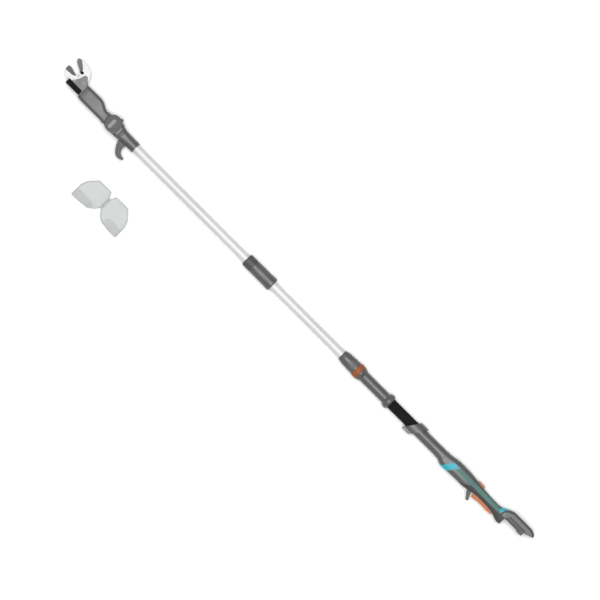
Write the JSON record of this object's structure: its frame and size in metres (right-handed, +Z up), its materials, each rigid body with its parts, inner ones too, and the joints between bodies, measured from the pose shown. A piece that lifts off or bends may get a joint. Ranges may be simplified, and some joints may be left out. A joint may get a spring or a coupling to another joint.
{
  "type": "telescoping battery pole pruner",
  "caption": "Telescoping pole tool with a tilting head, bypass cutting jaws, branch hook, trigger handle, empty battery foot and a loose hinged blade guard.",
  "frame": {"origin": "middle of the whole object's length and width, on the floor it lies on", "axes": "+X along the pole towards the cutting head, +Y to the tool's underside (trigger and branch hook), +Z up from the floor, to the tool's left"},
  "size_m": [2.1201, 0.3289, 0.06],
  "materials": {
    "casing": "fine-textured dark grey moulding",
    "casing_dark": "dark grey moulding",
    "soft_black": "soft matt black",
    "petrol_soft": "soft petrol green inlay",
    "bright_trim": "satin turquoise",
    "orange": "satin orange",
    "tube_silver": "drawn, clear anodised",
    "tube_dark": "dark powder coat",
    "blade_steel": "ground",
    "fasteners": "zinc plated",
    "cap_grey": "light grey moulding",
    "motor_can": "zinc plated can",
    "board": "printed circuit board",
    "contact": "plated",
    "cable": "black jacket",
    "guard_clear": "translucent, frosted"
  },
  "bodies": {
    "handle": {"outer_tube": "tube_dark", "front_sleeve": "casing", "clamp_collet": "casing_dark", "soft_grip": "soft_black", "strap_collar": "casing", "handle_shell_left": "casing", "handle_shell_right": "casing", "trim_stripes": "bright_trim", "grip_inlays": "petrol_soft", "tail_flashes": "bright_trim", "finger_guard": "casing_dark", "battery_rails": "casing_dark", "contact_block": "soft_black", "battery_contacts": "contact", "control_board": "board", "board_parts": "casing_dark", "trigger_switch": "soft_black", "trigger_pin": "fasteners", "trigger_spring": "fasteners", "handle_screws": "fasteners"},
    "clamp_nut": {"clamp_nut": "casing", "clamp_ring": "orange"},
    "trigger": {"trigger": "orange"},
    "lockout": {"lockout_slider": "orange"},
    "shaft": {"lower_tube": "tube_silver", "slider_plug": "casing_dark", "coupling_ferrule": "casing_dark", "coupling_spigot": "casing_dark", "coupling_socket": "casing_dark", "upper_tube": "tube_silver", "tilt_adapter": "casing", "branch_hook": "casing", "tilt_pin": "fasteners", "tilt_caps": "cap_grey", "pole_lead": "cable", "coiled_lead": "cable"},
    "coupling_sleeve": {"coupling_sleeve": "casing"},
    "tilt_button": {"tilt_button": "casing_dark"},
    "head": {"head_shell_left": "casing", "head_shell_right": "casing", "nose_cheek_left": "casing", "nose_cheek_right": "casing", "fixed_jaw": "blade_steel", "nose_cover": "soft_black", "motor": "motor_can", "gearbox": "motor_can", "bearing_carrier": "fasteners", "nose_bush": "fasteners", "pivot_bolt": "cap_grey", "pivot_nut": "fasteners", "nose_spacers": "fasteners", "head_screws": "fasteners", "cheek_screws": "fasteners"},
    "blade": {"cutting_blade": "blade_steel"},
    "lead_screw": {"lead_screw": "fasteners"},
    "drive_nut": {"drive_nut": "contact", "cross_pin": "fasteners"},
    "guard_a": {"guard_half_a": "guard_clear", "guard_pin": "fasteners"},
    "guard_b": {"guard_half_b": "guard_clear"}
  },
  "joints": [
    {"name": "telescope", "type": "slide", "parent": "handle", "child": "shaft", "axis": [1, 0, 0], "range_m": [-0.3, 0]},
    {"name": "clamp_turn", "type": "hinge", "parent": "handle", "child": "clamp_nut", "pos_m": [-0.26, -0.0866, 0.03], "axis": [1, 0, 0], "range_deg": [0, 90]},
    {"name": "coupling_turn", "type": "hinge", "parent": "shaft", "child": "coupling_sleeve", "pos_m": [0.14, -0.0866, 0.03], "axis": [1, 0, 0], "range_deg": [0, 120]},
    {"name": "head_tilt", "type": "hinge", "parent": "shaft", "child": "head", "pos_m": [0.824, -0.0914, 0.03], "axis": [0, 0, 1], "range_deg": [-30, 60]},
    {"name": "tilt_release", "type": "slide", "parent": "shaft", "child": "tilt_button", "axis": [0.3746, 0.9272, 0], "range_m": [0, 0.0028], "stiffness_N_per_m": 600, "springref_m": -0.001},
    {"name": "blade_swing", "type": "hinge", "parent": "head", "child": "blade", "pos_m": [0.9827, -0.1149, 0.03], "axis": [0, 0, 1], "range_deg": [0, 34]},
    {"name": "nut_travel", "type": "slide", "parent": "head", "child": "drive_nut", "axis": [1, 0, 0], "range_m": [-0.01121, 0.0002]},
    {"name": "screw_spin", "type": "hinge", "parent": "head", "child": "lead_screw", "pos_m": [0.97, -0.0856, 0.03], "axis": [1, 0, 0], "range_deg": [-5, 995.6]},
    {"name": "trigger_pull", "type": "hinge", "parent": "handle", "child": "trigger", "pos_m": [-0.914, -0.0776, 0.03], "axis": [0, 0, -1], "range_deg": [0, 4.5], "stiffness_Nm_per_rad": 2, "springref_deg": -5.73},
    {"name": "lockout_slide", "type": "slide", "parent": "handle", "child": "lockout", "axis": [1, 0, 0], "range_m": [0, 0.005], "stiffness_N_per_m": 400, "springref_m": -0.002},
    {"name": "guard_lift", "type": "slide", "parent": "handle", "child": "guard_a", "axis": [0, 0, 1], "range_m": [0, 0.15]},
    {"name": "guard_fold", "type": "hinge", "parent": "guard_a", "child": "guard_b", "pos_m": [0.664, 0.1084, 0.0153], "axis": [0, 1, 0], "range_deg": [0, 178]}
  ],
  "couplings": [
    {"joint": "nut_travel", "follows": "blade_swing", "m_per_rad": -0.018547},
    {"joint": "screw_spin", "follows": "blade_swing", "ratio": 29.134}
  ]
}
